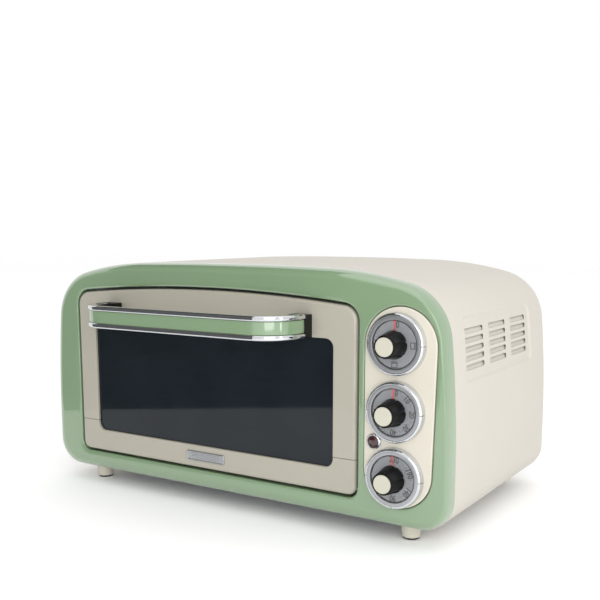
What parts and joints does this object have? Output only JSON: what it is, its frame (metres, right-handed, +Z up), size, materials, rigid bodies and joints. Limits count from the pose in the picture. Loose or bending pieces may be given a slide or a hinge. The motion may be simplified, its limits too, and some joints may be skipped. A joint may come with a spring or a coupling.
{
  "type": "toaster oven",
  "caption": "Compact countertop toaster oven with a rolled front frame, glazed drop-down door, bow handle, rotary dials on an inset panel, louvred sides and short round feet.",
  "frame": {"origin": "middle of the whole oven's footprint, handle and cord gland included, on the surface that the feet stand on", "axes": "+X to the right seen from the front, +Y to the rear, +Z up; the door and the dials face -Y"},
  "size_m": [0.46, 0.328, 0.237],
  "materials": {
    "green_enamel": "high gloss, moulded in pastel green with a clear coat",
    "cream_paint": "satin cream paint on sheet steel",
    "cream_moulding": "satin cream moulding",
    "galvanised": "bare aluminised sheet",
    "zinc_steel": "zinc-plated steel",
    "chrome": "bright chrome plating",
    "dial_grey": "fine brushed grey dial face",
    "black_plastic": "satin black phenolic",
    "dark_glass": "dark tinted tempered glass",
    "clear_plastic": "clear acrylic",
    "red_lens": "dark red translucent lens",
    "rubber": "soft black rubber",
    "ceramic": "glazed white steatite",
    "heater_sheath": "oxidised steel sheath",
    "black_enamel": "black speckled enamel",
    "switch_body": "tan moulded body",
    "copper": "copper capillary"
  },
  "bodies": {
    "cabinet": {"front_frame": "green_enamel", "outer_shell": "cream_paint", "back_panel": "galvanised", "bottom_panel": "galvanised", "feet": "cream_moulding", "foot_pads": "rubber", "foot_screws": "zinc_steel", "back_screws": "zinc_steel", "bottom_screws": "zinc_steel", "oven_cavity": "galvanised", "cavity_screws": "zinc_steel", "heat_shield": "galvanised", "hinge_brackets": "zinc_steel", "control_panel": "cream_moulding", "dial_rings": "chrome", "dial_plates": "dial_grey", "lamp_bezel": "chrome", "lamp_lens": "red_lens", "lamp_holder": "black_plastic", "control_bracket": "zinc_steel", "control_screws": "zinc_steel", "function_switch": "switch_body", "timer_body": "zinc_steel", "thermostat_body": "zinc_steel", "thermostat_bulb": "copper", "upper_heaters": "heater_sheath", "lower_heaters": "heater_sheath", "heater_insulators": "ceramic", "crumb_tray": "galvanised", "terminal_block": "ceramic", "cord_gland": "black_plastic"},
    "rack": {"wire_rack": "chrome", "baking_tray": "black_enamel"},
    "door": {"door_frame": "cream_moulding", "door_bottom_rail": "cream_moulding", "door_glass": "dark_glass", "door_inner_frame": "zinc_steel", "door_screws": "zinc_steel", "door_hinge_pins": "zinc_steel", "handle_strap": "green_enamel", "handle_trims": "chrome", "handle_brackets": "black_plastic", "handle_screws": "zinc_steel", "badge_plate": "chrome"},
    "function_knob": {"function_grip": "black_plastic", "function_cap": "cream_moulding", "function_pointer": "clear_plastic", "function_shaft": "zinc_steel"},
    "timer_knob": {"timer_grip": "black_plastic", "timer_cap": "cream_moulding", "timer_pointer": "clear_plastic", "timer_shaft": "zinc_steel"},
    "thermostat_knob": {"thermostat_grip": "black_plastic", "thermostat_cap": "cream_moulding", "thermostat_pointer": "clear_plastic", "thermostat_shaft": "zinc_steel"}
  },
  "joints": [
    {"name": "door_hinge", "type": "hinge", "parent": "cabinet", "child": "door", "pos_m": [-0.02155, -0.107, 0.0435], "axis": [1, 0, 0], "range_deg": [0, 78]},
    {"name": "rack_slide", "type": "slide", "parent": "cabinet", "child": "rack", "axis": [0, -1, 0], "range_m": [0, 0.065]},
    {"name": "function_turn", "type": "hinge", "parent": "cabinet", "child": "function_knob", "pos_m": [0.1833, -0.113, 0.17535], "axis": [0, 1, 0], "range_deg": [0, 270]},
    {"name": "timer_turn", "type": "hinge", "parent": "cabinet", "child": "timer_knob", "pos_m": [0.1833, -0.113, 0.1183], "axis": [0, 1, 0], "range_deg": [0, 270]},
    {"name": "thermostat_turn", "type": "hinge", "parent": "cabinet", "child": "thermostat_knob", "pos_m": [0.1833, -0.113, 0.06125], "axis": [0, 1, 0], "range_deg": [0, 235]}
  ],
  "couplings": [
    {"joint": "rack_slide", "follows": "door_hinge", "m_per_rad": 0.045}
  ]
}
